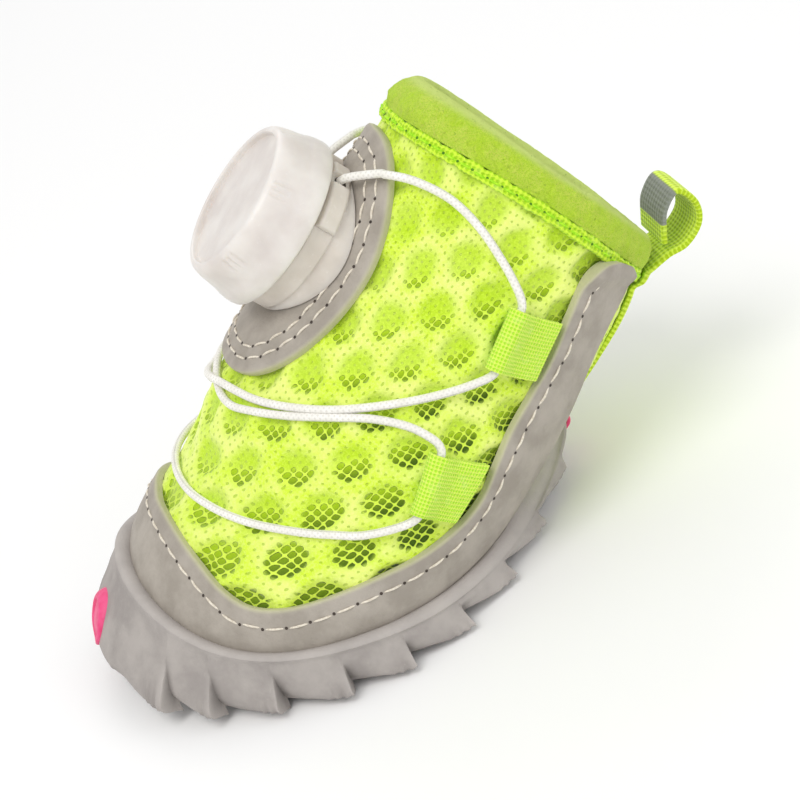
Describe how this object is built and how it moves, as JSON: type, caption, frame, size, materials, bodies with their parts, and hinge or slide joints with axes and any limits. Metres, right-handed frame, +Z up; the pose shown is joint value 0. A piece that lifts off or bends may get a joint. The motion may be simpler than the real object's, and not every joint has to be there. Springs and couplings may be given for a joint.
{
  "type": "dog boot",
  "caption": "Dog boot with a lime mesh upper, padded collar, grey rubber cup sole with wavy tread, pull tab and a lace dial on the instep.",
  "frame": {"origin": "middle of the boot's bounding box, on the plane that the sole stands on", "axes": "-X towards the toe, +X towards the heel, +Z up, the boot is the same on both sides of the XZ plane"},
  "size_m": [0.1252, 0.079, 0.0777],
  "materials": {
    "grey rubber": "matte moulded rubber",
    "grey synthetic leather": "smooth matte synthetic leather",
    "lime mesh": "knitted spacer mesh",
    "green collar plush": "soft brushed knit",
    "green tape": "woven tape",
    "green webbing": "ribbed webbing",
    "yellow-green webbing": "ribbed webbing",
    "insole foam": "cloth over foam",
    "milky plastic": "satin",
    "white cord": "braided",
    "pink rubber": "satin"
  },
  "bodies": {
    "root": {"outsole": "grey rubber", "upper": "lime mesh", "insole": "insole foam", "rand": "grey synthetic leather", "collar": "green collar plush", "seam_tape": "green tape", "instep_patch": "grey synthetic leather", "dial_base": "milky plastic", "dial_cap": "milky plastic", "lace": "white cord", "upper_loop_near": "green webbing", "upper_loop_far": "green webbing", "lower_loop_near": "green webbing", "lower_loop_far": "green webbing", "heel_webbing": "yellow-green webbing", "toe_badge": "pink rubber", "heel_badge": "pink rubber"}
  },
  "joints": []
}
